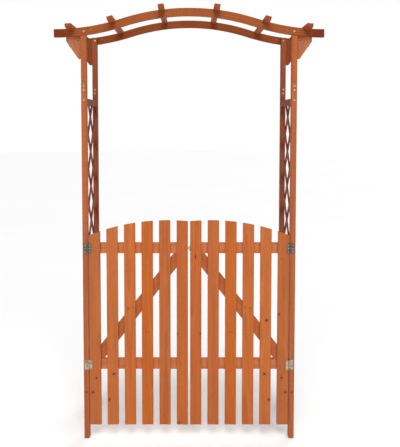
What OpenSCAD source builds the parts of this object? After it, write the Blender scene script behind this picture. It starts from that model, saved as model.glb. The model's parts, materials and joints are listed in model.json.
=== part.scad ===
// Garden arch with a two-leaf picket gate: posts lapped in two lengths, lattice sides, a pair of
// ogee-curved beams with rafters notched over them, and a gate hung on four butt hinges.
// Frame: +Z up, +X to the right seen from the gate side, +Y towards the back of the arch.
// The origin is on the ground, in the middle of the footprint.

/* [Arch] */
// Width over the outer faces of the posts
arch_w = 1000; // [830:10:1200]
// Depth over the outer faces of the front and back posts
arch_d = 410; // [340:5:500]
// Height of the beams' crown above the ground
crown_h = 2034; // [1690:2:2450]

/* [Posts] */
// Post width, across the arch
post_w = 24; // [20:1:30]
// Post depth, along the passage
post_d = 42; // [34:1:52]
// Drop from the top of the beam ends to the upper end of the post lap
lap_drop = 241; // [200:1:300]
// Height of the half-lap joint between lower and upper post
lap_h = 58; // [45:1:80]

/* [Beams] */
// Beam thickness, along the passage
beam_t = 20; // [16:1:24]
// Beam depth, measured square to its curve
beam_h = 37; // [30:1:45]
// How far the beams run past the posts
beam_overhang = 123; // [100:1:150]
// Height of the beams' crown above their ends
beam_rise = 97; // [70:1:120]

/* [Rafters] */
// Rafter length, along the passage
rafter_l = 600; // [500:5:720]
// Rafter width
rafter_w = 28; // [23:1:34]
// Rafter height
rafter_h = 20; // [18:1:26]
// Depth of the notch that sits over each beam
rafter_notch = 10; // [6:1:12]
// Height of a rafter's end face above its bevel
rafter_nose = 15; // [12:1:17]
// Length of the bevel under a rafter's end
rafter_bevel = 30; // [15:1:60]
// Distance between the two rafters beside the crown
rafter_crown_gap = 252; // [180:1:270]
// Distance between the outermost rafter and its neighbour
rafter_step = 187; // [150:1:210]
// Distance from a beam's end to the outermost rafter
rafter_end = 82; // [74:1:90]

/* [Brackets] */
// Width of a corner bracket beside its post
bracket_w = 70; // [55:1:80]
// Bracket thickness
bracket_t = 20; // [16:1:22]
// Drop from the beam ends to the bracket's foot
bracket_h = 134; // [100:1:160]
// Height of the bracket's straight outer edge
bracket_edge = 54; // [40:1:70]
// Width of the bracket's foot
bracket_foot = 14; // [8:1:25]

/* [Side panels] */
// Height of a side rail
rail_h = 31; // [25:1:40]
// Thickness of a side rail
rail_t = 20; // [14:1:22]
// Gap between the post lap and the top side rail
rail_gap = 18; // [5:1:40]
// Height of the bottom side rail above the ground
rail_foot = 137; // [80:1:200]
// Width of a lattice strip
lath_w = 20; // [14:1:24]
// Thickness of a lattice strip
lath_t = 6; // [4:0.5:8]
// Height of one lattice diamond
diamond_h = 171; // [140:0.5:205]
// Number of lattice diamonds across a side
diamonds = 2; // [2:1:3]
// Drop from the top side rail to the first crossing in the middle of a side
diamond_start = 34; // [10:1:160]

/* [Gate] */
// Gap between a gate leaf and its post
hinge_gap = 5; // [5:0.5:8]
// Gap between the two leaves
meet_gap = 10; // [10:1:16]
// Height of the slats' lower ends above the ground
gate_foot = 68; // [40:1:100]
// Height of the highest point of the gate
gate_h = 1050; // [900:5:1260]
// Radius of the curve along the slat tops
gate_arc_r = 1000; // [800:10:1200]
// Distance of the curve's highest point from the middle of the gate
gate_arc_x = 100; // [0:5:150]
// Slat width
slat_w = 53.5; // [44:0.5:65]
// Slat thickness
slat_t = 12; // [10:1:16]
// Height of a leaf's rails
leaf_rail_h = 50; // [46:1:60]
// Thickness of a leaf's rails and brace
leaf_rail_t = 20; // [16:1:26]
// Rise from the slats' lower ends to the lower rail
low_rail_rise = 267; // [150:1:320]
// Drop from the gate's highest point to the top of the upper rail
top_rail_drop = 108; // [90:1:150]
// Width of the diagonal brace
brace_w = 52; // [42:1:62]

/* [Hinges] */
// Height of a hinge
hinge_h = 46.5; // [40:0.5:46.5]
// Width of one hinge plate, from the pin's axis
plate_w = 17.75; // [14:0.25:20]
// Thickness of a hinge plate
plate_t = 2; // [1.5:0.25:2.5]
// Outer radius of the hinge knuckles
knuckle_r = 3.5; // [3:0.25:4]
// Radius of the hinge pin
pin_r = 1.6; // [1.2:0.1:2]
// Knuckles in a hinge
knuckles = 5; // [3:2:5]

/* [Latch] */
// Radius of the sliding bolt
bolt_r = 4; // [3:0.5:5]
// Length of the sliding bolt
bolt_l = 94; // [88:1:100]
// Travel of the sliding bolt
bolt_travel = 22; // [16:1:24]
// How far the drawn bolt stands into the gap between the leaves
bolt_stand = 3.5; // [1:0.5:4]
// Length of the bevel around the bolt's tip
bolt_bevel = 1.2; // [0.4:0.2:2]
// Distance from the rail's rear face to the bolt's axis
bolt_off = 9; // [8.5:0.5:12]
// Length of a bolt guide
guide_l = 16; // [12:1:18]
// Wall around the bolt in its guides
guide_wall = 3.5; // [2.5:0.5:5]
// Thickness of the latch's back plates
latch_plate_t = 2; // [1.5:0.5:3]
// Height of the latch's back plates
latch_plate_h = 26; // [22:1:30]
// Length of the latch's back plate on the left leaf
barrel_l = 80; // [76:1:90]
// Distance from that plate to the edge of its leaf
barrel_inset = 5; // [2:1:8]
// Length of the keeper
keeper_l = 24; // [20:1:28]
// Thickness of the keeper's strap
keeper_wall = 2; // [1.5:0.5:3]
// How far the keeper stands into the gap between the leaves
keeper_stand = 3; // [1:0.5:3.5]
// Drop of the bolt's axis below the middle of the upper rail
latch_drop = 5; // [0:1:8]
// Radius of the bolt's knob
knob_r = 3.5; // [2.5:0.5:4]
// Height of the knob above the bolt's axis
knob_h = 15; // [11:1:18]

/* [Clearances] */
// Gap left between a beam and what is cut to its curve
seat_gap = 0.2; // [0.15:0.05:0.5]
// Play of a rafter notch along the passage
notch_play = 0.5; // [0.2:0.1:1]
// Radial clearance of a pin or bolt in its bore
run_fit = 0.08; // [0.02:0.01:0.1]
// Gap between the bolt and the strap of its keeper
keeper_fit = 1; // [0.5:0.1:1.5]
// Gap between a hinge's moving pieces
knuckle_gap = 0.4; // [0.3:0.1:0.8]
// Gap between the knuckles and the wood behind them
knuckle_off = 0.5; // [0.3:0.1:1]

/* [Hidden] */

$fn = 48;

// Sides of the arch, as the sign of X or Y
left = -1;
right = 1;
front = -1;
back = 1;

// Stain of the wood, and the metals
wood_post = [0.74, 0.44, 0.27];
wood_beam = [0.68, 0.36, 0.20];
wood_lath = [0.66, 0.37, 0.22];
wood_slat = [0.78, 0.46, 0.28];
wood_rail = [0.62, 0.33, 0.19];
hinge_metal = [0.62, 0.52, 0.36];
latch_metal = [0.20, 0.19, 0.18];

// Faces that the pieces share, on the right and front side
post_out = arch_w / 2;
post_in = post_out - post_w;
face_out = arch_d / 2;
face_in = face_out - post_d;
lap_plane = face_out - post_d / 2;
beam_in = face_out - beam_t;

// Ogee of the beams: two equal arcs a side, level at the crown and at the end
beam_half = post_out + beam_overhang;
beam_end_z = crown_h - beam_rise;
arc_a = 2 * atan(beam_rise / beam_half);
arc_r = beam_half / 2 / sin(arc_a);
arc_steps = 14;

// How far a cut runs past the faces that it opens
past = 1;

// Heights
lap_top = beam_end_z - lap_drop;
lap_foot = lap_top - lap_h;
top_rail_z = lap_foot - rail_gap - rail_h;
panel_z0 = rail_foot + rail_h;
// How far the brackets' tops stay below the beams' ends, and the posts' tongues below the beams' tops
bracket_drop = 1;
tongue_drop = 1;

// Places of the rafters on the right half, from the crown outwards
rafter_out = beam_half - rafter_end;
rafter_at = [rafter_crown_gap / 2, rafter_out - rafter_step, rafter_out];

// Lattice; two crossing strips are fused over the depth of their bite
panel_d = 2 * face_in;
diamond_w = panel_d / diamonds;
lath_slope = diamond_h / diamond_w;
lath_bite = 0.5;
panel_x = (post_in + post_out) / 2;

// Gate leaf: slats flush with the posts' front faces, rails and brace behind them
slats = 6;
leaf_out = post_in - hinge_gap;
leaf_in = meet_gap / 2;
leaf_w = leaf_out - leaf_in;
slat_pitch = (leaf_w - slat_w) / (slats - 1);
slat_back = face_out - slat_t;
leaf_back = slat_back - leaf_rail_t;
low_rail_z = gate_foot + low_rail_rise;
high_rail_z = gate_h - top_rail_drop - leaf_rail_h;
brace_z0 = low_rail_z + leaf_rail_h;
brace_rise = high_rail_z - brace_z0;
// Width of the brace's level ends, for which its two corners meet the leaf's edges
brace_end = brace_w * (brace_rise * sqrt(brace_rise ^ 2 + leaf_w ^ 2 - brace_w ^ 2) - brace_w * leaf_w)
    / (brace_rise ^ 2 - brace_w ^ 2);

// Hinges: axis in front of the post's face, close to its inner edge
pin_inset = 1;
hinge_x = post_in + pin_inset;
hinge_y = face_out + knuckle_r + knuckle_off;
knuckle_pitch = hinge_h / knuckles;
// The plates start clear of the knuckles, which narrow tabs join to them
plate_clear = 0.7;
plate_start = knuckle_r + plate_clear;
tab_start = 2;
// How far a pin's ends stay inside its hinge
pin_short = 1;

// Latch
latch_y = leaf_back - bolt_off;
latch_z = high_rail_z + leaf_rail_h / 2 - latch_drop;
guide_r = bolt_r + guide_wall;
barrel_end = leaf_in + barrel_inset;
// The knob stands midway between the guides when the bolt is half shot
knob_at = barrel_end + (barrel_l + bolt_travel) / 2;

// Height of the beams' top edge at a distance x from the middle
function beam_top(x) = x < beam_half / 2
    ? crown_h - arc_r + sqrt(arc_r ^ 2 - x ^ 2)
    : beam_end_z + arc_r - sqrt(arc_r ^ 2 - (beam_half - x) ^ 2);

// Lean of the square to the beams' top edge at a distance x from the middle
function beam_lean(x) = asin(min(x, beam_half - x) / arc_r);

// Point on a beam's curve: u runs from -2 at the left end through 0 at the crown to 2 at the right
// end, and drop is the distance below the top edge
function beam_point(u, drop) = abs(u) <= 1
    ? [(arc_r - drop) * sin(u * arc_a), crown_h - arc_r + (arc_r - drop) * cos(u * arc_a)]
    : let (a = (2 - abs(u)) * arc_a)
        [sign(u) * (beam_half - (arc_r + drop) * sin(a)), beam_end_z + arc_r - (arc_r + drop) * cos(a)];

// Points of the curve at one drop below the top edge, from left to right
function beam_line(drop) = [for (i = [-2 * arc_steps : 2 * arc_steps]) beam_point(i / arc_steps, drop)];

function reversed(list) = [for (i = [len(list) - 1 : -1 : 0]) list[i]];

// Puts what is drawn for the right front quarter on another side
module placed(side_x = right, side_y = front) {
    scale_y = side_y == front ? 0 : 1;
    scale_x = side_x == right ? 0 : 1;
    mirror([scale_x, 0, 0]) mirror([0, scale_y, 0]) children();
}

// Draws a flat shape of X and Z as a board between two distances in front of the middle
module board(near, far) {
    translate([0, -near, 0]) rotate([90, 0, 0]) linear_extrude(height = far - near) children();
}

module lower_post(side_x, side_y) {
    color(wood_post) placed(side_x, side_y) union() {
        translate([post_in, -face_out, 0]) cube([post_w, post_d, lap_foot]);
        translate([post_in, -face_out, 0]) cube([post_w, post_d / 2, lap_top]);
    }
}

// Space over a beam's underside, which the post's outer half stops below
module beam_space() {
    above = crown_h + beam_h;
    board(beam_in, face_out + past) polygon(concat(
        beam_line(beam_h + seat_gap), [[beam_half, above], [-beam_half, above]]));
}

module upper_post(side_x, side_y) {
    tongue_top = beam_top(post_out) - tongue_drop;
    color(wood_post) placed(side_x, side_y) difference() {
        union() {
            translate([post_in, -face_out, lap_top]) cube([post_w, post_d, tongue_top - lap_top]);
            translate([post_in, -lap_plane, lap_foot]) cube([post_w, post_d / 2, lap_h]);
        }
        beam_space();
    }
}

module side_rails(side_x) {
    rail_x = panel_x - rail_t / 2;
    color(wood_rail) placed(side_x) for (z = [rail_foot, top_rail_z])
        translate([rail_x, -face_in, z]) cube([rail_t, panel_d, rail_h]);
}

// One lattice strip that crosses the middle of the panel at height z, leaning by slope
module lath(z, slope) {
    lean = atan(slope);
    reach = panel_d / cos(lean);
    translate([0, 0, z]) rotate([lean, 0, 0]) translate([0, -reach, -lath_w / 2])
        cube([lath_t, 2 * reach, lath_w]);
}

module lattice(side_x) {
    first = top_rail_z - diamond_start;
    rows = ceil((first - panel_z0) / diamond_h) + diamonds;
    color(wood_lath) placed(side_x) intersection() {
        translate([panel_x - lath_t, -face_in, panel_z0])
            cube([2 * lath_t, panel_d, top_rail_z - panel_z0]);
        union() {
            for (row = [-diamonds : rows]) {
                translate([panel_x - lath_t + lath_bite / 2, 0, 0])
                    lath(first - row * diamond_h, lath_slope);
                translate([panel_x - lath_bite / 2, 0, 0])
                    lath(first - row * diamond_h, -lath_slope);
            }
        }
    }
}

module beam(side_y) {
    color(wood_beam) placed(right, side_y) board(beam_in, face_out)
        polygon(concat(beam_line(0), reversed(beam_line(beam_h))));
}

module brackets(side_y) {
    top = beam_end_z - bracket_drop;
    foot = beam_end_z - bracket_h;
    outer = post_out + bracket_w;
    color(wood_post) for (side_x = [left, right]) placed(side_x, side_y)
        board(beam_in - bracket_t, beam_in) polygon([
            [post_out, foot], [post_out + bracket_foot, foot],
            [outer, beam_end_z - bracket_edge], [outer, top], [post_out, top]
        ]);
}

// A rafter square to the beams, notched over both. Over a bracket the notch is longer.
module rafter(side_x, place) {
    x = rafter_at[place];
    top = rafter_h - rafter_notch;
    half = rafter_l / 2;
    notch_in = beam_in - (place == 2 ? bracket_t : 0) - notch_play;
    notch_d = face_out + notch_play - notch_in;
    color(wood_beam) placed(side_x) translate([x, 0, beam_top(x)]) rotate([0, beam_lean(x), 0])
        difference() {
            rotate([90, 0, 90]) linear_extrude(height = rafter_w, center = true) polygon([
                [-half, top], [-half, top - rafter_nose], [rafter_bevel - half, -rafter_notch],
                [half - rafter_bevel, -rafter_notch], [half, top - rafter_nose], [half, top]
            ]);
            for (side_y = [front, back]) placed(right, side_y)
                translate([-rafter_w, -notch_in - notch_d, -rafter_h])
                    cube([2 * rafter_w, notch_d, rafter_h + seat_gap]);
        }
}

// A slat, counted from the hinge side of its leaf
module slat(side_x, count) {
    x = leaf_out - slat_w - (count - 1) * slat_pitch;
    color(wood_slat) placed(side_x) intersection() {
        translate([x, -face_out, gate_foot]) cube([slat_w, slat_t, gate_h - gate_foot]);
        translate([gate_arc_x, 0, gate_h - gate_arc_r]) rotate([90, 0, 0])
            cylinder(r = gate_arc_r, h = 2 * face_out, $fn = 360);
    }
}

module leaf_rails(side_x) {
    color(wood_rail) placed(side_x) for (z = [low_rail_z, high_rail_z])
        translate([leaf_in, -slat_back, z]) cube([leaf_w, leaf_rail_t, leaf_rail_h]);
}

module brace(side_x) {
    color(wood_rail) placed(side_x) board(leaf_back, slat_back) polygon([
        [leaf_out, brace_z0], [leaf_out - brace_end, brace_z0],
        [leaf_in, high_rail_z], [leaf_in + brace_end, high_rail_z]
    ]);
}

// One half of a hinge about its own pin. The outer half holds the first and last knuckle.
module hinge_half(outer) {
    first = outer ? 0 : 1;
    plate_at = knuckle_r + knuckle_off - plate_t;
    mirror([outer ? 0 : 1, 0, 0]) union() {
        translate([plate_start, plate_at, -hinge_h / 2])
            cube([plate_w - plate_start, plate_t, hinge_h]);
        for (i = [first : 2 : knuckles - 1]) {
            z = -hinge_h / 2 + i * knuckle_pitch + knuckle_gap / 2;
            tall = knuckle_pitch - knuckle_gap;
            translate([tab_start, plate_at, z]) cube([plate_start - tab_start + past, plate_t, tall]);
            translate([0, 0, z]) difference() {
                cylinder(r = knuckle_r, h = tall);
                if (!outer)
                    translate([0, 0, -past]) cylinder(r = pin_r + run_fit, h = tall + 2 * past);
            }
        }
        if (outer)
            translate([0, 0, pin_short - hinge_h / 2]) cylinder(r = pin_r, h = hinge_h - 2 * pin_short);
    }
}

// Both hinges of a leaf, at the middle of its rails
module hinge_pair(side_x, outer) {
    color(hinge_metal) placed(side_x) for (z = [low_rail_z, high_rail_z])
        translate([hinge_x, -hinge_y, z + leaf_rail_h / 2]) hinge_half(outer);
}

// A guide around the sliding bolt, from x towards the gap, that stands on its back plate
module bolt_guide(x) {
    translate([x, -latch_y, latch_z]) difference() {
        union() {
            rotate([0, 90, 0]) cylinder(r = guide_r, h = guide_l);
            translate([0, -bolt_off + latch_plate_t / 2, -guide_r])
                cube([guide_l, bolt_off - latch_plate_t / 2, 2 * guide_r]);
        }
        translate([-past, 0, 0]) rotate([0, 90, 0])
            cylinder(r = bolt_r + run_fit, h = guide_l + 2 * past);
    }
}

module latch_plate(x, length) {
    translate([x, -leaf_back, latch_z - latch_plate_h / 2]) cube([length, latch_plate_t, latch_plate_h]);
}

// On the left leaf: a back plate with two guides
module latch_barrel() {
    color(latch_metal) union() {
        latch_plate(-barrel_end - barrel_l, barrel_l);
        for (x = [-barrel_end - barrel_l, -barrel_end - guide_l]) bolt_guide(x);
    }
}

// The sliding bolt, drawn back
module latch_bolt() {
    tip = -leaf_in + bolt_stand;
    color(latch_metal) translate([0, -latch_y, latch_z]) union() {
        translate([tip - bolt_l, 0, 0]) rotate([0, 90, 0])
            cylinder(r = bolt_r, h = bolt_l - bolt_bevel);
        translate([tip - bolt_bevel, 0, 0]) rotate([0, 90, 0])
            cylinder(r1 = bolt_r, r2 = bolt_r - bolt_bevel, h = bolt_bevel);
        translate([-knob_at, 0, 0]) rotate([-90, 0, 0]) cylinder(r = knob_r, h = knob_h);
    }
}

// On the right leaf: a plate with a square strap that takes the bolt's tip
module latch_keeper() {
    x = leaf_in - keeper_stand;
    room = bolt_r + keeper_fit;
    plate_back = -leaf_back + latch_plate_t;
    depth = -latch_y + room - plate_back;
    color(latch_metal) union() {
        latch_plate(x, keeper_l);
        translate([x, plate_back, latch_z]) difference() {
            translate([0, 0, -room - keeper_wall])
                cube([keeper_l, depth + keeper_wall, 2 * (room + keeper_wall)]);
            translate([-past, -past, -room]) cube([keeper_l + 2 * past, depth + past, 2 * room]);
        }
    }
}

lower_post(left, front);  // front_left_lower_post
lower_post(right, front);  // front_right_lower_post
lower_post(left, back);  // back_left_lower_post
lower_post(right, back);  // back_right_lower_post
upper_post(left, front);  // front_left_upper_post
upper_post(right, front);  // front_right_upper_post
upper_post(left, back);  // back_left_upper_post
upper_post(right, back);  // back_right_upper_post
side_rails(left);  // left_side_rails
side_rails(right);  // right_side_rails
lattice(left);  // left_lattice
lattice(right);  // right_lattice
beam(front);  // front_beam
beam(back);  // back_beam
brackets(front);  // front_brackets
brackets(back);  // back_brackets
rafter(left, 2);  // rafter_1
rafter(left, 1);  // rafter_2
rafter(left, 0);  // rafter_3
rafter(right, 0);  // rafter_4
rafter(right, 1);  // rafter_5
rafter(right, 2);  // rafter_6
slat(left, 1);  // left_slat_1
slat(left, 2);  // left_slat_2
slat(left, 3);  // left_slat_3
slat(left, 4);  // left_slat_4
slat(left, 5);  // left_slat_5
slat(left, 6);  // left_slat_6
slat(right, 1);  // right_slat_1
slat(right, 2);  // right_slat_2
slat(right, 3);  // right_slat_3
slat(right, 4);  // right_slat_4
slat(right, 5);  // right_slat_5
slat(right, 6);  // right_slat_6
leaf_rails(left);  // left_leaf_rails
leaf_rails(right);  // right_leaf_rails
brace(left);  // left_brace
brace(right);  // right_brace
hinge_pair(left, true);  // left_post_hinges
hinge_pair(right, true);  // right_post_hinges
hinge_pair(left, false);  // left_leaf_hinges
hinge_pair(right, false);  // right_leaf_hinges
latch_barrel();
latch_bolt();
latch_keeper();
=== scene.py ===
import json
import math
import random

import bmesh
import bpy
from mathutils import Matrix, Vector

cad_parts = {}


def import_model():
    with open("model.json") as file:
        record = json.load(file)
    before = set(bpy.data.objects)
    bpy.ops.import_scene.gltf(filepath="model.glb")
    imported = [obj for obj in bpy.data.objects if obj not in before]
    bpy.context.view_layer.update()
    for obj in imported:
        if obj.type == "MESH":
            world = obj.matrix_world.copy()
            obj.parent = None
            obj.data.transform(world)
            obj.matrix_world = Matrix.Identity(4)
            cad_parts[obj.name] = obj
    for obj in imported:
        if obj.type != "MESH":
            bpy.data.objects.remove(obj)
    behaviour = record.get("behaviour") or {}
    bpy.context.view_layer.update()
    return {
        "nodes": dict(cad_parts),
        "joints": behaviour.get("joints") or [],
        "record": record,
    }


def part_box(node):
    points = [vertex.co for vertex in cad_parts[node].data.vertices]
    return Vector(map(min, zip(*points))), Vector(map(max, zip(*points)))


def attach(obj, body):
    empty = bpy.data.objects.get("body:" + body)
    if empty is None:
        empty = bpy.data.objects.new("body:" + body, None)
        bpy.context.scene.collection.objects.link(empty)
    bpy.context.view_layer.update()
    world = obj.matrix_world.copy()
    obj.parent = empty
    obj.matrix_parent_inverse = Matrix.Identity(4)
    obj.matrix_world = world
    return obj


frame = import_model()
NODES = frame["nodes"]
SLOT_OF = {part["node"]: part["material_slot"] for part in frame["record"]["subparts"]}
JOINTS = {joint["name"]: joint for joint in frame["joints"]}
LEFT, RIGHT = -1, 1
SIDES = {"left": LEFT, "right": RIGHT}
MM = 0.001
FRONT, BACK, UP = Vector((0, -1, 0)), Vector((0, 1, 0)), Vector((0, 0, 1))
ALONG_X, ALONG_Y = Vector((1, 0, 0)), Vector((0, 1, 0))


# ---- Colours ----------------------------------------------------------------------------------

def linear(red, green, blue):
    """A colour given as 0 to 255 values on a screen, as the linear colour that a shader takes."""
    return tuple((value / 255) ** 2.2 for value in (red, green, blue)) + (1.0,)


def scaled(colour, factor):
    return tuple(channel * factor for channel in colour[:3]) + (1.0,)


# Stains by board. The back posts, back beam and back brackets are darker than the front ones: painted shade.
# The front brackets are lighter, against the shadow of the beam above them: painted light.
STAIN_LIGHT_AND_SHADE = {
    "front_post": linear(153, 82, 44),
    "back_post": linear(132, 67, 38),
    "front_beam": linear(134, 70, 31),
    "back_beam": linear(119, 57, 18),
    "bracket": linear(167, 103, 71),
    "back_bracket": linear(115, 57, 25),
    "rafter": linear(138, 63, 20),
    "side_rail": linear(120, 53, 19),
    "lath": linear(118, 56, 29),
    "leaf_rail": linear(176, 103, 63),
    "brace": linear(161, 88, 49),
}
# The stain took differently on each slat; the first is on the hinge side
SLAT_STAIN = [
    linear(157, 88, 47), linear(165, 92, 48), linear(166, 90, 45),
    linear(165, 87, 35), linear(160, 88, 46), linear(163, 87, 43),
]
# Painted shadow of the outer rafters: the beams' colour darkens beyond them
BEAM_END_SHADOW = linear(105, 42, 13)
END_SHADOW_FROM, END_SHADOW_TO = 520 * MM, 590 * MM
KNOT_BROWN = linear(62, 28, 16)
PORE_BROWN = linear(96, 46, 24)
END_BROWN = linear(128, 62, 36)
FILLER = linear(214, 138, 92)

# ---- Sizes that the CAD's boxes don't give ------------------------------------------------------

# How far the edges of planed boards and of slimmer bars are eased
BOARD_EDGE = 1.4 * MM
BAR_EDGE = 1.2 * MM
BEAM_EDGE = 1.6 * MM
# Width of a lattice strip
STRIP = 20 * MM
# A half size for boards that show no eased edges
NO_EDGE = (10.0, 10.0, 10.0)
# Lap bolts sit at these shares of a lap's height
LAP_BOLTS = (0.33, 0.67)
RAIL_BOLT_RISE = 7 * MM
BEAM_BOLT_DROP = 10 * MM
BEAM_BOLT_INSET = 3 * MM
# Plugged holes in the beams: distance from the middle, height over the beam's centre line, radius
PLUG_X = (452 * MM, 501 * MM)
PLUG_RISE, PLUG_R = 4 * MM, 3.2 * MM
# Screws turn by up to this many radians, as they happened to stop
SCREW_TURN = 1.5
STAPLE_TURN = 0.5
# No staple comes this near a lattice's end
STAPLE_MARGIN = 8 * MM
HINGE_SCREW_STEP = 15.5 * MM
# A hinge's screws sit at this share of the way from its axis to the plate's outer edge
HINGE_SCREW_SHARE = 0.62
LATCH_PLATE = 2 * MM
# The brace's screws stay within this share of its height either side of its middle
BRACE_SHARE = 0.42
# Two places this close count as one
SAME = 0.05 * MM


# ---- Node trees -------------------------------------------------------------------------------

class Tree:
    """A node tree built by calls. An input is a number, a tuple or another node's output."""

    def __init__(self, tree):
        self.tree = tree

    def add(self, kind, inputs=(), **settings):
        node = self.tree.nodes.new(kind)
        for name, value in settings.items():
            setattr(node, name, value)
        pairs = inputs.items() if isinstance(inputs, dict) else enumerate(inputs)
        for key, value in pairs:
            if isinstance(value, bpy.types.NodeSocket):
                self.tree.links.new(value, node.inputs[key])
            else:
                node.inputs[key].default_value = value
        return node

    def math(self, operation, *values):
        return self.add("ShaderNodeMath", values, operation=operation).outputs[0]

    def vector(self, operation, *values):
        return self.add("ShaderNodeVectorMath", values, operation=operation).outputs["Vector"]

    def dot(self, a, b):
        return self.add("ShaderNodeVectorMath", [a, b], operation="DOT_PRODUCT").outputs["Value"]

    def combine(self, x, y, z):
        return self.add("ShaderNodeCombineXYZ", [x, y, z]).outputs[0]

    def split(self, vector):
        return self.add("ShaderNodeSeparateXYZ", [vector]).outputs

    def noise(self, vector, stretch, detail=2.0, roughness=0.5):
        """Noise from 0 to 1, with so many features a metre along each axis."""
        place = self.vector("MULTIPLY", vector, stretch)
        inputs = {"Vector": place, "Scale": 1.0, "Detail": detail, "Roughness": roughness}
        return self.add("ShaderNodeTexNoise", inputs).outputs["Fac"]

    def smooth(self, value, low, high, to_low=0.0, to_high=1.0):
        inputs = [value, low, high, to_low, to_high]
        return self.add("ShaderNodeMapRange", inputs, interpolation_type="SMOOTHSTEP").outputs[0]

    def mix(self, factor, a, b, blend="MIX"):
        node = self.add("ShaderNodeMix", (), data_type="RGBA", blend_type=blend)
        self.link(node.inputs[0], factor)
        self.link(node.inputs[6], a)
        self.link(node.inputs[7], b)
        return node.outputs[2]

    def link(self, socket, value):
        if isinstance(value, bpy.types.NodeSocket):
            self.tree.links.new(value, socket)
        else:
            socket.default_value = value


def new_material(name):
    """An empty material, its tree, and the object-space place and normal of the surface."""
    material = bpy.data.materials.new(name)
    material.use_nodes = True
    material.node_tree.nodes.clear()
    tree = Tree(material.node_tree)
    source = tree.add("ShaderNodeTexCoord")
    return material, tree, source.outputs["Object"], source.outputs["Normal"]


def finish_material(tree, colour, roughness, height, depth, **constants):
    """Joins a colour, a roughness and a bump of the given depth to a Principled shader."""
    bump = tree.add("ShaderNodeBump", {"Strength": 1.0, "Distance": depth, "Height": height})
    inputs = {"Base Color": colour, "Roughness": roughness, "Normal": bump.outputs[0]}
    inputs.update({name.replace("_", " "): value for name, value in constants.items()})
    shader = tree.add("ShaderNodeBsdfPrincipled", inputs)
    tree.add("ShaderNodeOutputMaterial", [shader.outputs[0]])


# ---- Wood -------------------------------------------------------------------------------------

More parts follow.
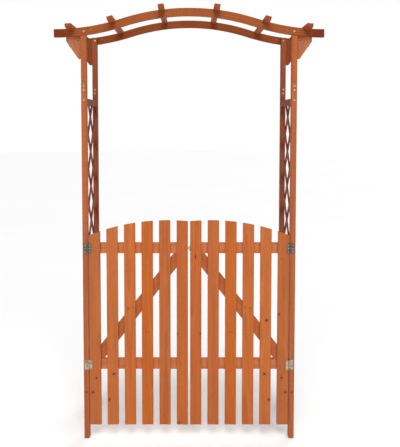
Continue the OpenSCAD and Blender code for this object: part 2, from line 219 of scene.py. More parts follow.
def grain_group():
    """Softwood in board space: X along the grain, Y across the face, Z through the thickness."""
    group = bpy.data.node_groups.new("wood_grain", "ShaderNodeTree")
    sockets = [
        ("Board", "Vector"), ("Half", "Vector"), ("Pith", "Vector"), ("Shift", "Vector"),
        ("Ring", "Float"), ("Swell", "Float"), ("Knot", "Float"), ("Halo", "Float"),
        ("Ends", "Float"), ("Stain", "Color"),
    ]
    for name, kind in sockets:
        group.interface.new_socket(name, in_out="INPUT", socket_type="NodeSocket" + kind)
    for name, kind in (("Colour", "Color"), ("Roughness", "Float"), ("Height", "Float")):
        group.interface.new_socket(name, in_out="OUTPUT", socket_type="NodeSocket" + kind)
    tree = Tree(group)
    given = tree.add("NodeGroupInput").outputs
    place = tree.vector("ADD", given["Board"], given["Shift"])

    # Growth rings round a pith that runs beside the board, wavering and tapering along it
    waver_y = tree.math("MULTIPLY_ADD", tree.noise(place, (1.4, 9, 9)), 16 * MM, -8 * MM)
    shifted = tree.vector("ADD", place, (3.1, 1.7, 2.3))
    waver_z = tree.math("MULTIPLY_ADD", tree.noise(shifted, (1.4, 9, 9)), 16 * MM, -8 * MM)
    board = tree.split(given["Board"])
    pith = tree.split(given["Pith"])
    across = tree.math("ADD", tree.math("SUBTRACT", board[1], pith[1]), waver_y)
    through = tree.math("ADD", tree.math("SUBTRACT", board[2], pith[2]), waver_z)
    squares = tree.math("MULTIPLY_ADD", across, across, tree.math("MULTIPLY", through, through))
    radius = tree.math("SQRT", squares)
    radius = tree.math("MULTIPLY_ADD", board[0], pith[0], radius)
    radius = tree.math("ADD", radius, given["Swell"])
    phase = tree.math("FRACT", tree.math("DIVIDE", radius, given["Ring"]))
    late = tree.math("MULTIPLY", tree.smooth(phase, 0.3, 0.9), tree.smooth(phase, 1.0, 0.93))

    # Broad bands, stain blotches, fibres and short pores, all drawn out along the grain
    bands = tree.noise(place, (1.8, 75, 75), 1.0)
    blotch = tree.noise(place, (4.5, 16, 16), 3.0)
    fibre = tree.noise(place, (11, 700, 700), 3.0, 0.6)
    pores = tree.smooth(tree.noise(place, (70, 1500, 1500), 0.0), 0.64, 0.74)
    tone = tree.math("MULTIPLY_ADD", bands, 0.34, 0.83)
    tone = tree.math("MULTIPLY_ADD", blotch, 0.22, tree.math("SUBTRACT", tone, 0.11))
    tone = tree.math("MULTIPLY_ADD", fibre, 0.16, tree.math("SUBTRACT", tone, 0.08))
    grey = tree.combine(tone, tone, tone)
    colour = tree.mix(1.0, given["Stain"], grey, "MULTIPLY")
    # The stain is redder and deeper in the late wood
    colour = tree.mix(tree.math("MULTIPLY", late, 0.55), colour,
                      tree.mix(1.0, colour, (0.80, 0.66, 0.58, 1), "MULTIPLY"))
    colour = tree.mix(tree.math("MULTIPLY", pores, 0.4), colour, PORE_BROWN)
    colour = tree.mix(tree.math("MULTIPLY", given["Halo"], 0.5), colour,
                      tree.mix(1.0, colour, (0.62, 0.50, 0.45, 1), "MULTIPLY"))
    colour = tree.mix(given["Knot"], colour, KNOT_BROWN)

    # Sawn ends drink more stain
    ends = tree.smooth(given["Ends"], 0.6, 0.8)
    colour = tree.mix(tree.math("MULTIPLY", ends, 0.75), colour,
                      tree.mix(0.45, END_BROWN, colour))

    # Edges: distance from the nearest edge is the middle one of the distances from the faces
    inward = tree.split(tree.vector("SUBTRACT", given["Half"], tree.vector("ABSOLUTE", given["Board"])))
    low = tree.math("MINIMUM", inward[0], inward[1])
    high = tree.math("MAXIMUM", inward[0], inward[1])
    rim = tree.math("MAXIMUM", low, tree.math("MINIMUM", high, inward[2]))
    rough_rim = tree.math("MULTIPLY_ADD", tree.noise(place, (40, 160, 160)), 3 * MM, rim)
    edge = tree.smooth(rough_rim, 3.6 * MM, 1.2 * MM)
    worn = tree.smooth(tree.noise(place, (14, 60, 60), 3.0), 0.60, 0.72)
    colour = tree.mix(tree.math("MULTIPLY", edge, 0.5), colour,
                      tree.mix(1.0, colour, (0.70, 0.60, 0.54, 1), "MULTIPLY"))
    colour = tree.mix(tree.math("MULTIPLY", edge, tree.math("MULTIPLY", worn, 0.6)), colour, FILLER)

    rough = tree.math("MULTIPLY_ADD", fibre, 0.16, 0.50)
    rough = tree.math("MULTIPLY_ADD", late, -0.07, rough)
    rough = tree.math("MULTIPLY_ADD", ends, 0.18, rough)
    height = tree.math("MULTIPLY_ADD", late, 0.35, tree.math("MULTIPLY", fibre, 0.8))
    height = tree.math("MULTIPLY_ADD", pores, -0.6, height)
    height = tree.math("MULTIPLY_ADD", given["Knot"], -0.5, height)
    tree.add("NodeGroupOutput", [colour, rough, height])
    return group


WOOD = grain_group()
draw = random.Random(11)


def add_knots(tree, along, across, knots):
    """Fields of a board's knots: rings that swell round them, the dark core and a halo.

    A knot is its place along and across the board, its radius and how drawn out it is."""
    swell, core, halo = 0.0, 0.0, 0.0
    for place_along, place_across, radius, stretch in knots:
        du = tree.math("DIVIDE", tree.math("SUBTRACT", along, place_along), radius * stretch)
        dv = tree.math("DIVIDE", tree.math("SUBTRACT", across, place_across), radius)
        distance = tree.math("SQRT", tree.math(
            "MULTIPLY_ADD", du, du, tree.math("MULTIPLY", dv, dv)))
        ring = tree.math("MULTIPLY_ADD", tree.math("SINE", tree.math("MULTIPLY", distance, 9.0)), 0.14,
                         tree.smooth(distance, 1.15, 0.55, 0.0, 0.86))
        ring = tree.math("MULTIPLY", ring, tree.smooth(distance, 1.25, 1.0))
        core = tree.math("MAXIMUM", core, ring)
        halo = tree.math("MAXIMUM", halo, tree.smooth(distance, 2.6, 0.9))
        bulge = tree.math("EXPONENT", tree.math("MULTIPLY", tree.math("MULTIPLY", distance, distance), -0.16))
        swell = tree.math("MULTIPLY_ADD", bulge, 2.2 * radius, swell)
    return swell, core, halo


def wood(name, stain, grain, side, centre, half, knots=(), fillers=(), ring=4.5 * MM, field=None,
         painted_end_shadow=None):
    """The material of one board, which lies along grain, with its face's width along side.

    field, where given, works out the board's coordinates instead, as for a curved board.
    painted_end_shadow gives the darker colour, a painted shadow, that a board turns to between two distances
    from its middle."""
    material, tree, place, normal = new_material(name)
    thick = grain.cross(side)
    if field is None:
        local = tree.vector("SUBTRACT", place, centre)
        along, across = tree.dot(local, grain), tree.dot(local, side)
        board = tree.combine(along, across, tree.dot(local, thick))
    else:
        along, across, through = field(tree, place)
        board = tree.combine(along, across, through)
    swell, core, halo = add_knots(tree, along, across, knots)
    pith = (draw.uniform(-0.012, 0.012), draw.uniform(-0.03, 0.03),
            draw.choice((-1, 1)) * draw.uniform(0.03, 0.08))
    shift = (draw.uniform(0, 40), draw.uniform(0, 40), draw.uniform(0, 40))
    inputs = {
        "Board": board, "Half": half, "Pith": pith, "Shift": shift, "Ring": ring, "Swell": swell,
        "Knot": core, "Halo": halo, "Ends": tree.math("ABSOLUTE", tree.dot(normal, grain)),
        "Stain": stain,
    }
    # Painted shadow: the colour darkens towards the board's ends
    if painted_end_shadow:
        near, far, deep = painted_end_shadow
        inputs["Stain"] = tree.mix(tree.smooth(tree.math("ABSOLUTE", along), near, far), stain, deep)
    group = tree.add("ShaderNodeGroup", (), node_tree=WOOD)
    for key, value in inputs.items():
        tree.link(group.inputs[key], value)
    colour = group.outputs["Colour"]
    for place_along, place_across, radius in fillers:
        du, dv = tree.math("SUBTRACT", along, place_along), tree.math("SUBTRACT", across, place_across)
        distance = tree.math("SQRT", tree.math("MULTIPLY_ADD", du, du, tree.math("MULTIPLY", dv, dv)))
        colour = tree.mix(tree.smooth(distance, 1.2 * radius, 0.6 * radius, 0.0, 0.28), colour, FILLER)
    finish_material(tree, colour, group.outputs["Roughness"], group.outputs["Height"], 0.25 * MM,
                    Specular_IOR_Level=0.16)
    return material


def dress(name, material, bevel):
    """Gives a CAD node its material and eased edges."""
    node = NODES[name]
    node.data.materials.clear()
    node.data.materials.append(material)
    if bevel:
        weld = node.modifiers.new("weld", "WELD")
        weld.merge_threshold = 0.01 * MM
        ease = node.modifiers.new("ease", "BEVEL")
        ease.width = bevel
        ease.segments = 2
        ease.limit_method = "ANGLE"
        ease.angle_limit = math.radians(35)
        shade = node.modifiers.new("shade", "WEIGHTED_NORMAL")
        shade.weight = 100


def middle(name):
    low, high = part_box(name)
    return (low + high) / 2, (high - low) / 2


def dress_board(name, stain, grain, side, knots=()):
    """A straight board that fills its box. Knots are given as places in the arch's own frame."""
    centre, size = middle(name)
    thick = grain.cross(side)
    half = tuple(abs(size.dot(axis)) for axis in (grain, side, thick))
    local = [
        (along - centre.dot(grain), across - centre.dot(side), radius, stretch)
        for across, along, radius, stretch in knots
    ]
    material = wood(name + "_wood", stain, grain, side, centre, half, local)
    dress(name, material, BOARD_EDGE)


# Knots by board: distance from the arch's middle, height, radius, and how drawn out they are
POST_KNOTS = [(488 * MM, 226 * MM, 3.8 * MM, 1.0)]
SLAT_KNOTS = {
    1: [(440 * MM, 296 * MM, 4.4 * MM, 1.1), (458 * MM, 226 * MM, 6.0 * MM, 0.8)],
    2: [(357 * MM, 315 * MM, 6.4 * MM, 0.8), (379 * MM, 190 * MM, 4.2 * MM, 1.6)],
    3: [(288 * MM, 632 * MM, 3.0 * MM, 1.0), (265 * MM, 636 * MM, 2.6 * MM, 0.8)],
    4: [(202 * MM, 519 * MM, 2.2 * MM, 1.0), (190 * MM, 517 * MM, 2.2 * MM, 1.0)],
    5: [],
    6: [(53 * MM, 509 * MM, 3.0 * MM, 1.6)],
}
# Knots that only one leaf has
LEFT_KNOTS = {6: [(47 * MM, 78 * MM, 4.6 * MM, 0.7)]}
RIGHT_KNOTS = {
    1: [(437 * MM, 866 * MM, 2.8 * MM, 1.0), (425 * MM, 603 * MM, 3.6 * MM, 1.6)],
    2: [(367 * MM, 574 * MM, 6.2 * MM, 1.0)],
    6: [(30 * MM, 878 * MM, 2.6 * MM, 3.5)],
}


def mirrored(knots, side):
    return [(side * across, along, radius, stretch) for across, along, radius, stretch in knots]


def dress_posts():
    for depth in ("front", "back"):
        for side_name, side in SIDES.items():
            for length in ("lower", "upper"):
                knots = mirrored(POST_KNOTS, side) if (depth, length) == ("front", "lower") else ()
                # The back posts take the darker colour: painted shade
                stain = STAIN_LIGHT_AND_SHADE[depth + "_post"]
                dress_board(f"{depth}_{side_name}_{length}_post", stain, UP, ALONG_X, knots=knots)


def dress_slats():
    for side_name, side in SIDES.items():
        for count, stain in enumerate(SLAT_STAIN, 1):
            own = RIGHT_KNOTS if side == RIGHT else LEFT_KNOTS
            knots = SLAT_KNOTS[count] + own.get(count, [])
            dress_board(f"{side_name}_slat_{count}", stain, UP, ALONG_X, knots=mirrored(knots, side))


def levels(name):
    """The heights of a node's level faces, from the lowest up."""
    return sorted({round(vertex.co.z, 5) for vertex in NODES[name].data.vertices})


def paired(tree, place, split, heights):
    """Height within a rail, where one node holds a low and a high one."""
    z = tree.split(place)[2]
    upper = tree.math("GREATER_THAN", z, split)
    low = tree.math("SUBTRACT", z, heights[0])
    return tree.math("MULTIPLY_ADD", upper, heights[0] - heights[1], low)


def dress_rails(name, stain, grain, bevel):
    """Two level boards of one node, which lie along grain."""
    z = levels(name)
    heights = ((z[0] + z[1]) / 2, (z[2] + z[3]) / 2)
    centre, size = middle(name)
    half = (abs(size.dot(grain)), (z[1] - z[0]) / 2, abs(size.dot(grain.cross(UP))))

    def field(tree, place):
        local = tree.vector("SUBTRACT", place, centre)
        across = paired(tree, place, (z[1] + z[2]) / 2, heights)
        return tree.dot(local, grain), across, tree.dot(local, grain.cross(UP))

    material = wood(name + "_wood", stain, grain, UP, centre, half, ring=3.8 * MM, field=field)
    dress(name, material, bevel)


def dress_braces():
    for side_name, side in SIDES.items():
        name = side_name + "_brace"
        centre, size = middle(name)
        rise = Vector((-side * size.x, 0, size.z))
        # The grain runs with the long edges, which are steeper than the box's diagonal
        points = [vertex.co for vertex in NODES[name].data.vertices]
        bottom = [p.x * side for p in points if p.z < centre.z]
        width = max(bottom) - min(bottom)
        rise.x = -side * (2 * size.x - width)
        rise.z = 2 * size.z
        grain = rise.normalized()
        across = grain.cross(FRONT)
        half = (rise.length / 2, width * abs(grain.z) / 2, size.y)
        material = wood(name + "_wood", STAIN_LIGHT_AND_SHADE["brace"], grain, across, centre, half)
        dress(name, material, BAR_EDGE)


class Ogee:
    """A beam's curve: two equal arcs a side, level at the crown and at the end."""

    def __init__(self, name):
        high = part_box(name)[1]
        ends = [v.co.z for v in NODES[name].data.vertices if v.co.x > high.x - 0.1 * MM]
        self.half = high.x
        self.crown = high.z
        self.end = max(ends)
        self.deep = self.end - min(ends)
        self.angle = 2 * math.atan((self.crown - self.end) / self.half)
        self.radius = self.half / 2 / math.sin(self.angle)

    def lean(self, x):
        """Slope of the top edge at a distance x from the middle."""
        return math.asin(min(x, self.half - x) / self.radius)

    def top(self, x):
        """Height of the top edge at a distance x from the middle."""
        if x < self.half / 2:
            return self.crown - self.radius + math.sqrt(self.radius ** 2 - x ** 2)
        return self.end + self.radius - math.sqrt(self.radius ** 2 - (self.half - x) ** 2)

    def depth(self, tree, place):
        """Height above the beam's centre line, square to its curve, as a node."""
        x, _, z = tree.split(place)
        x = tree.math("ABSOLUTE", x)

        def reach(dx, dz):
            return tree.math("SQRT", tree.math("MULTIPLY_ADD", dx, dx, tree.math("MULTIPLY", dz, dz)))

        inner = reach(x, tree.math("SUBTRACT", z, self.crown - self.radius))
        outer = reach(tree.math("SUBTRACT", x, self.half), tree.math("SUBTRACT", z, self.end + self.radius))
        inner = tree.math("SUBTRACT", inner, self.radius)
        outer = tree.math("SUBTRACT", self.radius, outer)
        flank = tree.math("GREATER_THAN", x, self.half / 2)
        depth = tree.math("MULTIPLY_ADD", flank, tree.math("SUBTRACT", outer, inner), inner)
        return tree.math("ADD", depth, self.deep / 2)


OGEE = Ogee("front_beam")


def dress_beams():
    for name in ("front_beam", "back_beam"):
        centre, size = middle(name)

        def field(tree, place):
            x, y, _ = tree.split(place)
            return x, OGEE.depth(tree, place), tree.math("SUBTRACT", y, centre.y)

        half = (size.x, OGEE.deep / 2, size.y)
        plugs = [(side * x, PLUG_RISE, PLUG_R) for side in (LEFT, RIGHT) for x in PLUG_X]
        # The back beam's colour is darker as painted shade, and both beams darken towards their ends as the
        # painted shadow of the outer rafters
        material = wood(name + "_wood", STAIN_LIGHT_AND_SHADE[name], ALONG_X, UP, centre, half, fillers=plugs, field=field,
                        painted_end_shadow=(END_SHADOW_FROM, END_SHADOW_TO, BEAM_END_SHADOW))
        dress(name, material, BEAM_EDGE)


def dress_rafters():
    for count in range(1, 7):
        name = f"rafter_{count}"
        centre, size = middle(name)
        lean = math.copysign(OGEE.lean(abs(centre.x)), centre.x)
        across = Vector((math.cos(lean), 0, -math.sin(lean)))
        half = (size.y, *section(size, lean))
        material = wood(name + "_wood", STAIN_LIGHT_AND_SHADE["rafter"], ALONG_Y, across, centre, half)
        dress(name, material, BAR_EDGE)


def section(size, lean):
    """Half width and half height of a leaning square bar, from its upright box."""
    sine, cosine = abs(math.sin(lean)), math.cos(lean)
    spread = cosine ** 2 - sine ** 2
    return (size.x * cosine - size.z * sine) / spread, (size.z * cosine - size.x * sine) / spread


def dress_brackets():
    """One node holds a left and a right bracket, so distances from the middle are used."""
    for name in ("front_brackets", "back_brackets"):
        points = [vertex.co for vertex in NODES[name].data.vertices]
        inner = min(abs(p.x) for p in points)
        centre, size = middle(name)
        half = (size.z, (size.x - inner) / 2, size.y)

        def field(tree, place):
            x, y, z = tree.split(place)
            across = tree.math("SUBTRACT", tree.math("ABSOLUTE", x), (inner + size.x) / 2)
            return tree.math("SUBTRACT", z, centre.z), across, tree.math("SUBTRACT", y, centre.y)

        knots = []
        if name == "front_brackets":
            knots = [(1887 * MM - centre.z, 513 * MM - (inner + size.x) / 2, 2.2 * MM, 1.2)]
        # The back brackets take a darker colour (painted shade), the front ones a lighter colour (painted
        # light)
        stain = STAIN_LIGHT_AND_SHADE["bracket" if name == "front_brackets" else "back_bracket"]
        material = wood(name + "_wood", stain, UP, ALONG_X, centre, half, knots, field=field)
        dress(name, material, BOARD_EDGE)


def dress_lattices():
    """Strips of two layers, each with its grain along its own diagonal."""
    for side_name, side in SIDES.items():
        name = side_name + "_lattice"
        centre = middle(name)[0]
        slope = diamond_slope(name)

        def field(tree, place):
            local = tree.vector("SUBTRACT", place, centre)
            x, y, z = tree.split(local)
            outer = tree.math("GREATER_THAN", tree.math("MULTIPLY", x, side), 0.0)
            tilt = tree.math("MULTIPLY_ADD", outer, -2 * math.sin(slope), math.sin(slope))
            along = tree.math("MULTIPLY_ADD", z, math.sin(slope) ** 2,
                              tree.math("MULTIPLY", tree.math("MULTIPLY", y, math.cos(slope)), tilt))
            across = tree.math("MULTIPLY_ADD", y, math.sin(slope),
                               tree.math("MULTIPLY", tree.math("MULTIPLY", z, -1 / math.tan(slope)), tilt))
            return along, across, x

        material = wood(name + "_wood", STAIN_LIGHT_AND_SHADE["lath"], UP, ALONG_Y, centre, NO_EDGE, ring=3.0 * MM,
                        field=field)
        dress(name, material, 0)


def diamond_slope(name):
    """Lean of the strips of a lattice, from its straight edges."""
    mesh = NODES[name].data
    best = (0.0, 0.0)
    for edge in mesh.edges:
        a, b = (mesh.vertices[i].co for i in edge.vertices)
        step = b - a
        if abs(step.x) < 0.01 * MM and abs(step.y) > MM and abs(step.z) > MM:
            best = max(best, (step.length, math.atan(abs(step.z / step.y))))
    return best[1]


dress_posts()
dress_slats()
dress_braces()
dress_beams()
dress_rafters()
dress_brackets()
dress_lattices()
for side_name in SIDES:
    dress_rails(side_name + "_side_rails", STAIN_LIGHT_AND_SHADE["side_rail"], ALONG_Y, BAR_EDGE)
    dress_rails(side_name + "_leaf_rails", STAIN_LIGHT_AND_SHADE["leaf_rail"], ALONG_X, BOARD_EDGE)


# ---- Metals -----------------------------------------------------------------------------------

def metal(name, colour, dull, metallic, roughness, painted_height_shading=None):
    """Plated or coated steel with clouded tone, fine scratches and dull patches.

    painted_height_shading, where given, blends in a second colour over the height, lighter below and darker
    above: painted light and shade."""
    material, tree, place, _ = new_material(name)
    cloud = tree.noise(place, (90, 90, 90), 4.0, 0.6)
    speck = tree.noise(place, (900, 900, 900), 2.0)
    patch = tree.smooth(cloud, 0.42, 0.62)
    base = colour
    # Painted light and shade: the second colour below the lower height, the main colour above the upper one
    if painted_height_shading:
        low, high, second = painted_height_shading
        base = tree.mix(tree.smooth(tree.split(place)[2], low, high), second, colour)
    tint = tree.mix(tree.math("MULTIPLY", patch, 0.7), base, dull)
    tint = tree.mix(tree.smooth(speck, 0.60, 0.72, 0.0, 0.3), tint, scaled(dull, 0.5))
    rough = tree.math("MULTIPLY_ADD", patch, 0.18, roughness)
    rough = tree.math("MULTIPLY_ADD", speck, 0.12, rough)
    height = tree.math("MULTIPLY_ADD", cloud, 0.3, tree.math("MULTIPLY", speck, 0.5))
    finish_material(tree, tint, rough, height, 0.05 * MM, Metallic=metallic)
    return material


# The lower hinges are drawn lighter than the upper ones: painted light and shade by height
HINGE_PLATE = metal("hinge_zinc", linear(94, 90, 81), linear(70, 66, 58), 0.55, 0.42,
                    painted_height_shading=(600 * MM, 640 * MM, linear(174, 156, 136)))
LATCH_STEEL = metal("latch_steel", linear(66, 58, 52), linear(46, 40, 36), 0.35, 0.46)
BOLT_ZINC = metal("bolt_zinc", linear(164, 156, 118), linear(132, 122, 86), 0.6, 0.38)
SCREW_ZINC = metal("screw_zinc", linear(176, 168, 148), linear(140, 130, 110), 0.7, 0.38)

for node_name, slot_name in SLOT_OF.items():
    if slot_name == "hinge_zinc":
        dress(node_name, HINGE_PLATE, 0.25 * MM)
    elif slot_name == "latch_steel":
        dress(node_name, LATCH_STEEL, 0.3 * MM)


# ---- Bolts, nuts, screws and staples ------------------------------------------------------------

def facing(point, outward, turn=0.0):
    """A place on a surface: local +Z points outward, turned by an angle about it."""
    spin = Matrix.Rotation(turn, 4, "Z")
    return Matrix.Translation(point) @ Vector(outward).to_track_quat("Z", "Y").to_matrix().to_4x4() @ spin


def lathe(bm, place, outline, sides=20):
    """A turned shape: outline is (radius, height) from the rim up to a point on the axis."""
    rings = []
    for radius, height in outline[:-1]:
        corners = []
        for i in range(sides):
            angle = 2 * math.pi * i / sides
            corner = Vector((radius * math.cos(angle), radius * math.sin(angle), height))
            corners.append(bm.verts.new(place @ corner))
        rings.append(corners)
    for lower, upper in zip(rings, rings[1:]):
        for i in range(sides):
            j = (i + 1) % sides
            bm.faces.new((lower[i], lower[j], upper[j], upper[i])).smooth = True
    tip = bm.verts.new(place @ Vector((0, 0, outline[-1][1])))
    for i in range(sides):
        bm.faces.new((rings[-1][i], rings[-1][(i + 1) % sides], tip)).smooth = True
    bm.faces.new(reversed(rings[0]))


def dome(bm, place, radius=5.35 * MM, rise=2.7 * MM):
    """The round head of a coach bolt, with a short straight rim."""
    rim = 0.4 * MM
    steps = 6
    outline = [(radius, -0.3 * MM), (radius, rim)]
    for i in range(1, steps):
        angle = math.pi / 2 * i / steps
        outline.append((radius * math.cos(angle), rim + (rise - rim) * math.sin(angle)))
    lathe(bm, place, outline + [(0, rise)], 24)


def nut(bm, place, across=10 * MM, thick=4.5 * MM):
    """A washer, a chamfered hexagon nut and the end of the bolt in it."""
    washer = 1.0 * MM
    lathe(bm, place, [(across * 0.85, -0.2 * MM), (across * 0.85, washer - 0.2 * MM),
                      (across * 0.82, washer), (0, washer)], 28)
    corner = across / math.sqrt(3)
    shape = [(corner, 0.0), (corner, thick - 0.8 * MM), (across / 2 * 0.97, thick), (0, thick)]
    lathe(bm, place @ Matrix.Translation((0, 0, washer)), shape, 6)
    shank = 2.9 * MM
    thread = [(shank, 0.0)]
    pitch = 1.0 * MM
    for i in range(3):
        foot = thick + i * pitch
        thread += [(shank, foot + 0.1 * MM), (shank * 0.88, foot + pitch / 2), (shank, foot + 0.9 * MM)]
    top = thick + 3 * pitch + 0.4 * MM
    lathe(bm, place @ Matrix.Translation((0, 0, washer)), thread + [(shank * 0.8, top), (0, top)], 16)


def screw(bm, place, radius=2.6 * MM, proud=0.35 * MM):
    """A screw head with a sunk cross, standing a little proud of its seat."""
    arm, slot_w, sunk = radius * 0.62, radius * 0.16, 0.9 * MM
    sides = 20
    rim = []
    for i in range(sides):
        angle = 2 * math.pi * (i + 0.5) / sides
        rim.append(Vector((radius * math.cos(angle), radius * math.sin(angle), 0)))
    cross = []
    for quarter in range(4):
        turn = Matrix.Rotation(quarter * math.pi / 2, 3, "Z")
        for corner in ((slot_w, slot_w), (arm, slot_w), (arm, -slot_w)):
            cross.append(turn @ Vector((corner[0], corner[1], 0)))
    # Put the corners in order round the axis
    cross.sort(key=lambda p: math.atan2(p.y, p.x))

    def loop(points, height, scale=1.0):
        return [bm.verts.new(place @ Vector((p.x * scale, p.y * scale, height))) for p in points]

    def wall(lower, upper):
        for i in range(len(lower)):
            j = (i + 1) % len(lower)
            bm.faces.new((lower[i], lower[j], upper[j], upper[i]))

    seat = loop(rim, -0.4 * MM)
    shoulder = loop(rim, proud * 0.55)
    crown = loop(rim, proud, 0.90)
    lip = loop(cross, proud)
    floor = loop(cross, proud - sunk, 0.7)
    wall(seat, shoulder)
    wall(shoulder, crown)
    wall(floor, lip)
    bm.faces.new(floor)
    bm.faces.new(reversed(seat))
    edges = [bm.edges.get((ring[i], ring[(i + 1) % len(ring)])) or
             bm.edges.new((ring[i], ring[(i + 1) % len(ring)]))
             for ring in (crown, lip) for i in range(len(ring))]
    bmesh.ops.triangle_fill(bm, edges=edges, use_beauty=True)


def staple(bm, place, length=9 * MM, wire=0.55 * MM):
    """The crown of a staple, a flattened wire with rounded shoulders."""
    outline = []
    steps = 4
    for side in (RIGHT, LEFT):
        for i in range(steps + 1):
            angle = math.pi / 2 * (i / steps) if side == RIGHT else math.pi / 2 * (1 - i / steps)
            x = side * (length / 2 - wire + wire * math.cos(angle))
            outline.append((x, wire * math.sin(angle)))
    near = [bm.verts.new(place @ Vector((x, -wire, z))) for x, z in outline]
    far = [bm.verts.new(place @ Vector((x, wire, z))) for x, z in outline]
    bm.faces.new(near)
    bm.faces.new(reversed(far))
    for i in range(len(near)):
        j = (i + 1) % len(near)
        bm.faces.new((near[i], far[i], far[j], near[j]))


def make(name, body, material, shapes):
    """One object from a list of (shape, place) pairs, riding on a body."""
    bm = bmesh.new()
    for shape, place in shapes:
        shape(bm, place)
    bmesh.ops.recalc_face_normals(bm, faces=bm.faces)
    mesh = bpy.data.meshes.new(name)
    bm.to_mesh(mesh)
    bm.free()
    mesh.materials.append(material)
    piece = bpy.data.objects.new(name, mesh)
    bpy.context.scene.collection.objects.link(piece)
    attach(piece, body)


def frame_bolts():
    """Coach bolts through the post laps and beams, and screws into the side rails.

    All heads face the front of the arch, and the nuts are behind."""
    heads, nuts = [], []
    rail = levels("right_side_rails")
    rail_z = (rail[2] + rail[3]) / 2 + RAIL_BOLT_RISE
    beam_z = OGEE.end - BEAM_BOLT_DROP
    for side_name, side in SIDES.items():
        for depth in ("front", "back"):
            post_low, post_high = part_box(f"{depth}_{side_name}_lower_post")
            lap_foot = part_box(f"{depth}_{side_name}_upper_post")[0].z
            x = (post_low.x + post_high.x) / 2
            for share in LAP_BOLTS:
                z = lap_foot + (post_high.z - lap_foot) * share
                heads.append((dome, facing((x, post_low.y, z), FRONT)))
                nuts.append((nut, facing((x, post_high.y, z), BACK, draw.uniform(0, 1))))
            heads.append((dome, facing((x, post_low.y, rail_z), FRONT)))
            beam_x = x - side * BEAM_BOLT_INSET
            heads.append((dome, facing((beam_x, post_low.y, beam_z), FRONT)))
            nuts.append((nut, facing((beam_x, post_high.y, beam_z), BACK, draw.uniform(0, 1))))
    make("frame_bolt_heads", "frame", BOLT_ZINC, heads)
    make("frame_bolt_nuts", "frame", BOLT_ZINC, nuts)


def rafter_screws():
    """A screw down through each rafter into each beam."""
    shapes = []
    for count in range(1, 7):
        centre, size = middle(f"rafter_{count}")
        lean = math.copysign(OGEE.lean(abs(centre.x)), centre.x)
        up = Vector((math.sin(lean), 0, math.cos(lean)))
        top = centre + up * section(size, lean)[1]
        for beam in ("front_beam", "back_beam"):
            y = middle(beam)[0].y
            point = Vector((top.x, y, top.z))
            shapes.append((screw, facing(point, up, draw.uniform(0, SCREW_TURN))))
    make("rafter_screws", "frame", SCREW_ZINC, shapes)


def lattice_staples():
    """A staple at each crossing of two strips, on the face towards the passage."""
    for side_name, side in SIDES.items():
        name = side_name + "_lattice"
        low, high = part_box(name)
        slope = diamond_slope(name)
        wide = (high.y - low.y) / 2
        tall = wide * math.tan(slope)
        face_x = high.x if side == LEFT else low.x
        start = crossing_height(name)
        shapes = []
        rows = int((high.z - low.z) / (tall / 2)) + 2
        for row in range(-1, rows):
            z = start - row * tall / 2
            spots = [0.0] if row % 2 == 0 else [-wide / 2, wide / 2]
            for y in spots:
                if low.z + STAPLE_MARGIN < z < high.z - STAPLE_MARGIN:
                    place = facing((face_x, y, z), (-side, 0, 0), draw.uniform(-STAPLE_TURN, STAPLE_TURN))
                    shapes.append((staple, place))
        make(name + "_staples", "frame", SCREW_ZINC, shapes)


def crossing_height(name):
    """Height of a crossing in the middle of a lattice, where its strips form an X."""
    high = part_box(name)[1]
    tops = [v.co.z for v in NODES[name].data.vertices
            if abs(v.co.y) < 0.5 * MM and v.co.z < high.z - 5 * MM]
    return max(tops) - STRIP / 2 / math.cos(diamond_slope(name))


def leaf_screws():
    """Screws from behind through each leaf's rails and brace into its slats."""
    for side_name, side in SIDES.items():
        rails = side_name + "_leaf_rails"
        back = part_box(rails)[1].y
        z = levels(rails)
        shapes = []
        for count in range(1, 7):
            low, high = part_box(f"{side_name}_slat_{count}")
            x = (low.x + high.x) / 2
            aside = (high.x - low.x) / 4
            for foot, head in ((z[0], z[1]), (z[2], z[3])):
                rise = (head - foot) / 4
                for way in (LEFT, RIGHT):
                    point = (x + way * aside, back, (foot + head) / 2 + way * rise)
                    if not over_latch(point):
                        shapes.append((screw, facing(point, BACK, draw.uniform(0, SCREW_TURN))))
            brace_z = brace_height(side_name, side, x)
            if brace_z is not None:
                shapes.append((screw, facing((x, back, brace_z), BACK, draw.uniform(0, SCREW_TURN))))
        make(side_name + "_leaf_screws", side_name + "_leaf", SCREW_ZINC, shapes)


def over_latch(point):
    """True where a latch plate covers a place on a rail."""
    spare = 4 * MM
    for name in ("latch_barrel", "latch_keeper"):
        low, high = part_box(name)
        if low.x - spare < point[0] < high.x + spare and low.z - spare < point[2] < high.z + spare:
            return True
    return False


def brace_height(side_name, side, x):
    """Height of the brace's middle line at a place across the leaf, or None beyond its ends."""
    centre, size = middle(side_name + "_brace")
    points = [vertex.co for vertex in NODES[side_name + "_brace"].data.vertices]
    bottom = [p.x for p in points if p.z < centre.z]
    run = 2 * size.x - (max(bottom) - min(bottom))
    share = side * (centre.x - x) / run
    return centre.z + share * 2 * size.z if abs(share) < BRACE_SHARE else None


def hinge_screws():
    """Three screws in each hinge plate."""
    for side_name in SIDES:
        axis = hinge_x(side_name)
        for kind, body in (("post", "frame"), ("leaf", side_name + "_leaf")):
            name = f"{side_name}_{kind}_hinges"
            low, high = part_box(name)
            outer = low.x if abs(low.x - axis) > abs(high.x - axis) else high.x
            x = axis + (outer - axis) * HINGE_SCREW_SHARE
            plate_y = plate_front(name, outer)
            ends = levels(name)
            heights = (ends[0] + hinge_height(name) / 2, ends[-1] - hinge_height(name) / 2)
            shapes = [
                (screw, facing((x, plate_y, z + step * HINGE_SCREW_STEP), FRONT, draw.uniform(0, SCREW_TURN)))
                for z in heights for step in (-1, 0, 1)
            ]
            make(name + "_screws", body, SCREW_ZINC, shapes)


def hinge_x(side_name):
    return JOINTS[side_name + "_leaf_hinge"]["pos_m"][0]


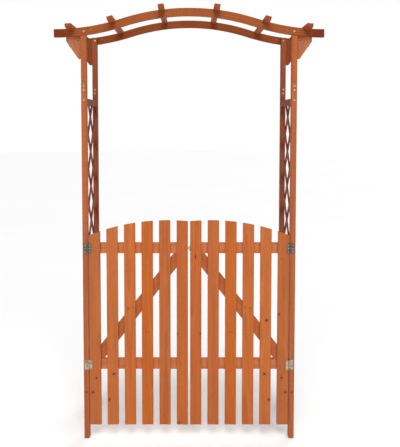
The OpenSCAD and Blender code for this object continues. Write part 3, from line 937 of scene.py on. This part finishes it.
def hinge_height(name):
    """Height of one hinge's plate, whose outer edge runs over all of it."""
    low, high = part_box(name)
    points = [v.co for v in NODES[name].data.vertices]
    outer = max(points, key=lambda p: abs(p.x - hinge_x(name.split("_")[0])))
    heights = [p.z for p in points if abs(p.x - outer.x) < SAME and p.z < (low.z + high.z) / 2]
    return max(heights) - min(heights)


def plate_front(name, outer):
    """The front face of a hinge's plates, at their outer edge."""
    return min(v.co.y for v in NODES[name].data.vertices if abs(v.co.x - outer) < SAME)


def latch_screws():
    """Screws in the back plates of the latch and of its keeper."""
    rail_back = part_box("left_leaf_rails")[1].y
    plate_y = rail_back + LATCH_PLATE
    for name, body, shares, drop in (("latch_barrel", "left_leaf", (0.30, 0.70), 9 * MM),
                                     ("latch_keeper", "right_leaf", (0.25, 0.75), 10 * MM)):
        low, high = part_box(name)
        z = (low.z + high.z) / 2
        shapes = []
        for share in shares:
            for way in (LEFT, RIGHT):
                point = (low.x + (high.x - low.x) * share, plate_y, z + way * drop)
                shapes.append((screw, facing(point, BACK, draw.uniform(0, SCREW_TURN))))
        make(name + "_screws", body, LATCH_STEEL, shapes)


frame_bolts()
rafter_screws()
lattice_staples()
leaf_screws()
hinge_screws()
latch_screws()


# ---- Studio -----------------------------------------------------------------------------------

def floor():
    """A pale floor with a faint unevenness."""
    bm = bmesh.new()
    bmesh.ops.create_circle(bm, cap_ends=True, segments=96, radius=30.0)
    mesh = bpy.data.meshes.new("floor")
    bm.to_mesh(mesh)
    bm.free()
    material, tree, place, _ = new_material("floor_paper")
    cloud = tree.noise(place, (0.7, 0.7, 0.7), 3.0)
    colour = tree.mix(cloud, (0.86, 0.86, 0.86, 1), (0.90, 0.90, 0.90, 1))
    finish_material(tree, colour, 0.8, cloud, 0.1 * MM)
    mesh.materials.append(material)
    piece = bpy.data.objects.new("floor", mesh)
    bpy.context.scene.collection.objects.link(piece)


def area_light(name, place, target, size, power):
    light = bpy.data.lights.new(name, "AREA")
    light.shape = "RECTANGLE"
    light.size, light.size_y = size
    light.energy = power
    lamp = bpy.data.objects.new(name, light)
    lamp.location = place
    lamp.rotation_euler = (Vector(target) - Vector(place)).to_track_quat("-Z", "Y").to_euler()
    bpy.context.scene.collection.objects.link(lamp)


def sun_light(name, direction, spread, strength):
    """Even light from far off, with shadows softened by its spread in degrees."""
    light = bpy.data.lights.new(name, "SUN")
    light.angle = math.radians(spread)
    light.energy = strength
    lamp = bpy.data.objects.new(name, light)
    lamp.rotation_euler = Vector(direction).to_track_quat("-Z", "Y").to_euler()
    bpy.context.scene.collection.objects.link(lamp)


def world():
    """Even white surroundings: bright to the eye, and softer as light on the object."""
    sky = bpy.data.worlds.new("studio")
    sky.use_nodes = True
    sky.node_tree.nodes.clear()
    tree = Tree(sky.node_tree)
    seen = tree.add("ShaderNodeLightPath").outputs["Is Camera Ray"]
    strength = tree.math("MULTIPLY_ADD", seen, 0.50, 0.50)
    background = tree.add("ShaderNodeBackground", {"Color": (1, 1, 1, 1), "Strength": strength})
    tree.add("ShaderNodeOutputWorld", [background.outputs[0]])
    bpy.context.scene.world = sky


def camera():
    """Eye-high and square to the gate, with a moderate lens."""
    lens = bpy.data.cameras.new("camera")
    lens.lens = 53.7
    lens.sensor_width = 36.0
    lens.shift_x = 0.0245
    lens.shift_y = -0.136
    eye = bpy.data.objects.new("camera", lens)
    eye.location = (0.0, -3.305, 1.516)
    pitch = 3.6
    eye.rotation_euler = (math.radians(90 - pitch), 0, 0)
    bpy.context.scene.collection.objects.link(eye)
    bpy.context.scene.camera = eye


floor()
world()
camera()
sun_light("front", (0, 0.70, -0.70), 30.0, 1.75)
sun_light("rear", (-0.3, -0.70, -0.65), 40.0, 1.05)
area_light("key", (0.0, -1.3, 2.6), (0, 0, 1.8), (0.4, 0.3), 6)
area_light("left", (-1.7, -1.9, 1.0), (-0.25, 0, 0.8), (0.7, 1.2), 13)
area_light("right", (1.7, -1.9, 1.0), (0.25, 0, 0.8), (0.7, 1.2), 13)
bpy.context.scene.view_settings.view_transform = "Standard"
